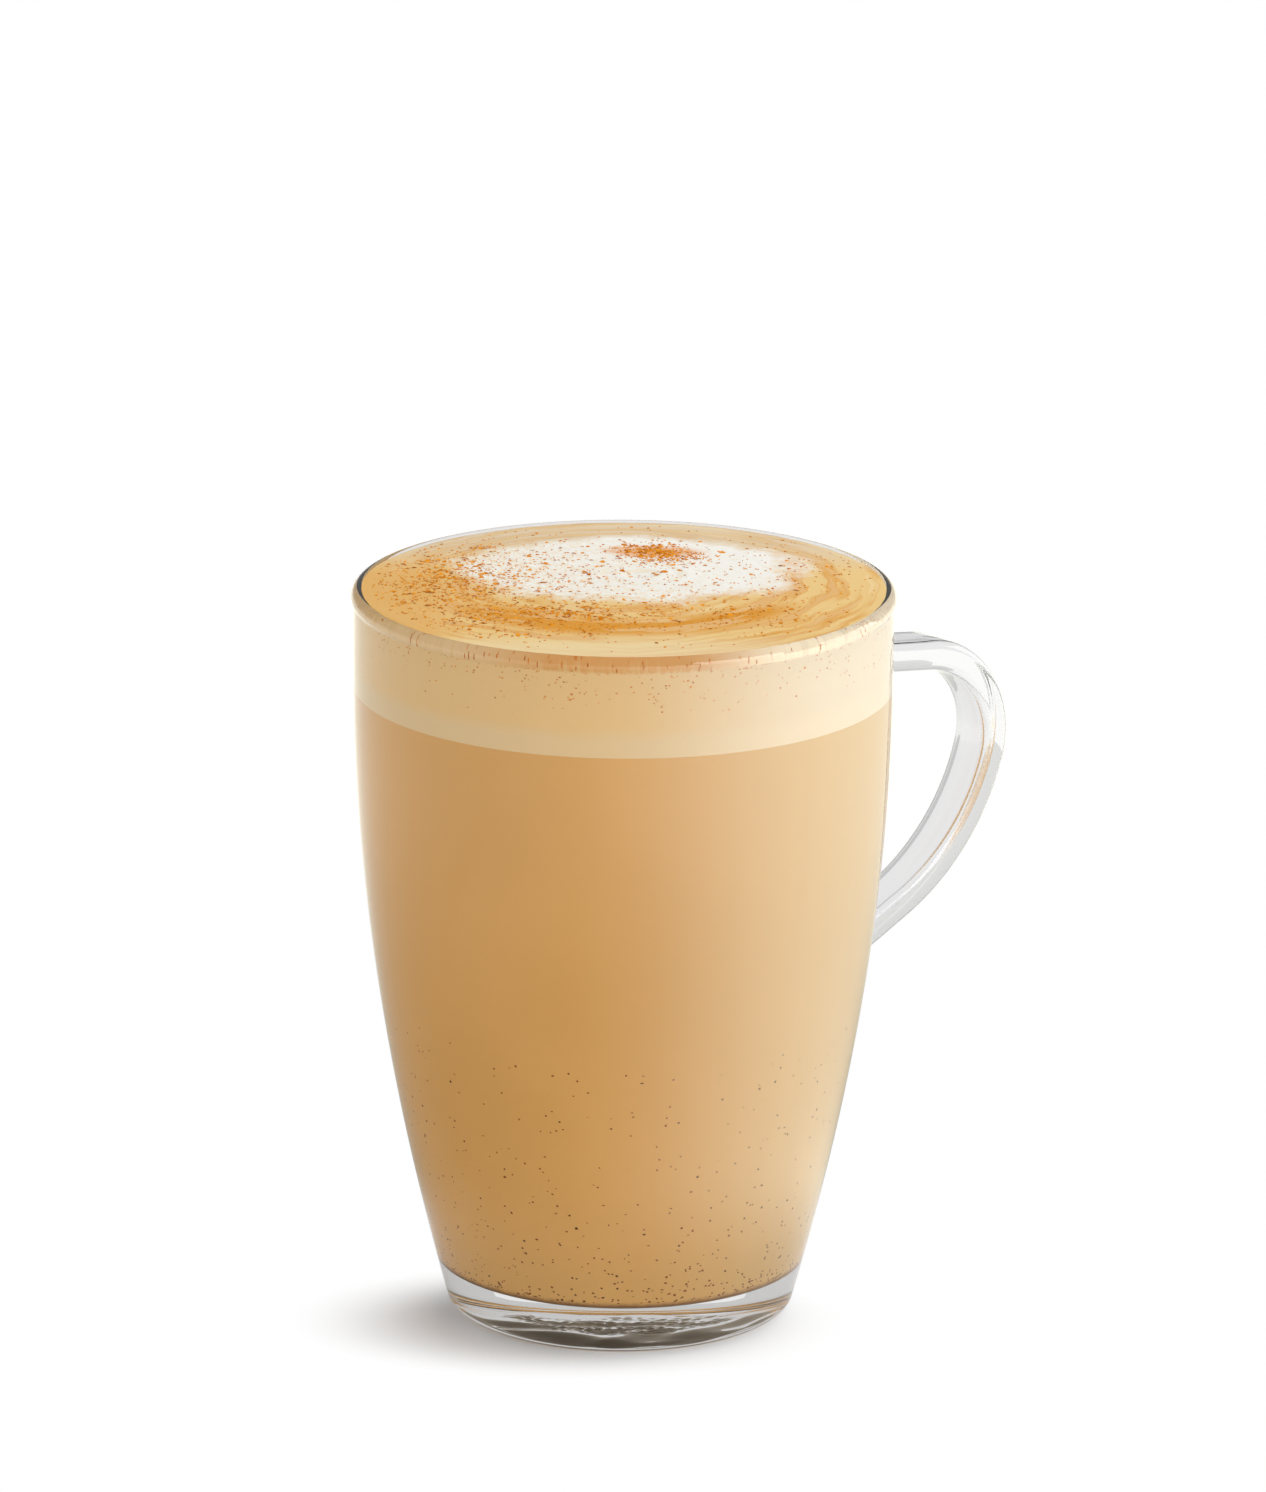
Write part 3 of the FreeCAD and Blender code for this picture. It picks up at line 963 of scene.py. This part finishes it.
def floor_finish():
    """A pale floor that fades to plain white away from the mug, and keeps its shadow near it.

    In mirrors it shines instead, more with the distance and to the side and behind. Each part
    of that sheen is a power of the cosine of the direction from the mug.
    """
    f = Finish("floor_white")
    here = f.place()
    x, y = f.split(here)[:2]
    away = f.math("SQRT", f.apart(x, y))
    shade = f.node("ShaderNodeMapping", {
        0: here, 1: (*SHADE_AT, 0.0), 2: (0.0, 0.0, VIEW_TURN), 3: (*SHADE_HALF, 1.0)},
        vector_type="TEXTURE").outputs[0]
    reach = f.node("ShaderNodeVectorMath", {0: shade}, operation="LENGTH").outputs["Value"]
    sheen = f.steps(away, *SHEEN_FADE, *SHEEN_ALL_ROUND)
    beside = ASIDE * math.sin(SHEEN_TURN) - AHEAD * math.cos(SHEEN_TURN)
    for way, power, strength in ((beside, BESIDE_POWER, SHEEN_BESIDE),
                                 (AHEAD, BEHIND_POWER, SHEEN_BEHIND)):
        cosine = f.math("DIVIDE", f.along(here, way), f.larger(away, 1.0))
        part = f.math("POWER", f.larger(cosine, 0.0), power)
        sheen = f.plus(f.times(part, strength), sheen)

    ray = f.node("ShaderNodeLightPath").outputs
    plain = f.node("ShaderNodeBsdfDiffuse", {"Color": FLOOR_TONE}).outputs[0]
    level = f.between(ray["Is Transmission Ray"], 1.0, FLOOR_THROUGH_GLASS)
    white = f.node("ShaderNodeEmission", {"Color": (1.0, 1.0, 1.0, 1.0),
                                          "Strength": level}).outputs[0]
    shine = f.node("ShaderNodeEmission", {"Color": SHEEN_TONE, "Strength": sheen}).outputs[0]
    seen = f.larger(ray["Is Camera Ray"], ray["Is Transmission Ray"])
    open_floor = f.blend(f.times(seen, f.steps(reach, *SHADE_FADE)), plain, white)
    mirrored = f.times(ray["Is Glossy Ray"], ray["Is Reflection Ray"])
    clear_of_mug = f.steps(away, *CLEAR_OF_MUG)
    return f.surface(f.blend(f.times(mirrored, clear_of_mug), open_floor, shine))


def studio_floor():
    """A level disc under the mug."""
    rim = directions(FLOOR_STEPS)[1] * FLOOR_RADIUS
    points = np.column_stack([rim, np.zeros(FLOOR_STEPS)])
    floor = make_piece("studio_floor", points, [list(range(FLOOR_STEPS))])
    floor.data.materials.append(floor_finish())


def soft_lamp(name, size, strength, turn, rise, distance):
    """A soft lamp aimed at the mug. It stands at degrees to the right of the view, and above it."""
    data = bpy.data.lights.new(name, "AREA")
    data.shape = "RECTANGLE"
    data.size, data.size_y = size
    data.energy = strength
    lamp = bpy.data.objects.new(name, data)
    bpy.context.scene.collection.objects.link(lamp)
    turn, rise = math.radians(turn), math.radians(rise)
    away = -AHEAD * math.cos(turn) + ASIDE * math.sin(turn)
    way = Vector((*(away * math.cos(rise)), math.sin(rise)))
    lamp.location = Vector((0, 0, LAMPS_AIM)) + way * distance
    lamp.rotation_euler = way.to_track_quat("Z", "Y").to_euler()
    lamp.visible_camera = False
    lamp.visible_transmission = False
    return lamp


def studio_lamps():
    """Soft lamps all round the mug, and a high one that makes its shadow."""
    for turn, strength in RING_LAMPS:
        lamp = soft_lamp(f"ring_softbox_{turn}", RING_SIZE, strength, turn, RING_RISE,
                         RING_DISTANCE)
        lamp.visible_glossy = turn in MIRRORED_LAMPS
    high = soft_lamp("high_softbox", HIGH_SIZE, HIGH_LAMP, HIGH_TURN, HIGH_RISE, HIGH_DISTANCE)
    high.visible_glossy = False


def studio_world():
    """A dim sky on dull surfaces, and a bright room in mirrors and through glass."""
    world = bpy.data.worlds.new("studio")
    bpy.context.scene.world = world
    world.use_nodes = True
    world.cycles.sampling_method = "NONE"
    n = Nodes(world.node_tree)
    ray = n.node("ShaderNodeLightPath").outputs
    up = n.split(n.node("ShaderNodeTexCoord").outputs["Generated"])[2]
    level = n.between(ray["Is Camera Ray"], SKY, 1.0)
    level = n.between(ray["Is Glossy Ray"], level, n.steps(up, 0.0, 0.2, *ROOM_IN_MIRRORS))
    level = n.between(ray["Is Transmission Ray"], level, WORLD_THROUGH_GLASS)
    level = n.between(ray["Diffuse Depth"], level, SKY)
    back = n.node("ShaderNodeBackground", {"Color": WORLD_TONE, "Strength": level})
    n.node("ShaderNodeOutputWorld", {"Surface": back.outputs[0]})


def view_camera():
    """A long lens that looks down at the mug, rolled a little about its own line of sight."""
    data = bpy.data.cameras.new("view")
    data.lens = VIEW_LENS
    data.sensor_width = 36.0
    data.clip_end = 20.0
    camera = bpy.data.objects.new("view", data)
    bpy.context.scene.collection.objects.link(camera)
    target = np.array([*(ASIDE * VIEW_TARGET[0]), VIEW_TARGET[1]])
    back = np.array([*(-AHEAD * math.cos(VIEW_TILT)), math.sin(VIEW_TILT)])
    camera.location = Vector((target + back * VIEW_DISTANCE) * MM)
    level = Vector(back).to_track_quat("Z", "Y")
    camera.rotation_mode = "QUATERNION"
    camera.rotation_quaternion = Quaternion(Vector(back), VIEW_ROLL) @ level
    bpy.context.scene.camera = camera


# ---------------------------------------------------------------- the mug and its drink

foam_side = foam_side_effect()
spice_grain = spice_effect()

dress(clear_mug(), glass_finish())

latte_section = drink_outline(BASE - INTO_GLASS, LATTE_LEVEL, FLOOR_ROUND)
latte = make_piece("milk_coffee", *turned(latte_section), node="latte")
dress(latte, latte_finish())

band_section = drink_outline(LATTE_LEVEL, BAND_TOP)
band = make_piece("pale_foam_band", *turned(band_section), node="milk_foam")
dress(band, band_finish(foam_side))

dress(foam_crown(), crema_finish(foam_side))

spice = spice_finish(spice_grain, "ground_spice", *SPICE_TONES)
settled = spice_finish(spice_grain, "settled_spice", *SETTLED_TONES)
sunk = spice_finish(spice_grain, "sunk_spice", *SUNK_TONES)
dress(spice_flakes(), spice)
dress(wall_specks("settled_specks", count=1300, heights=specks_near_floor, sizes=(0.28, 0.6),
                  seed=21), settled)
dress(wall_specks("foam_specks", count=700, heights=specks_in_foam, sizes=(0.25, 0.5),
                  seed=31), sunk)
dress(wall_specks("lip_streaks", count=360, heights=streaks_under_lip, sizes=(0.15, 0.34),
                  seed=41, tall=1.3), sunk)

studio_floor()
studio_lamps()
studio_world()
view_camera()
bpy.context.scene.view_settings.view_transform = "Standard"
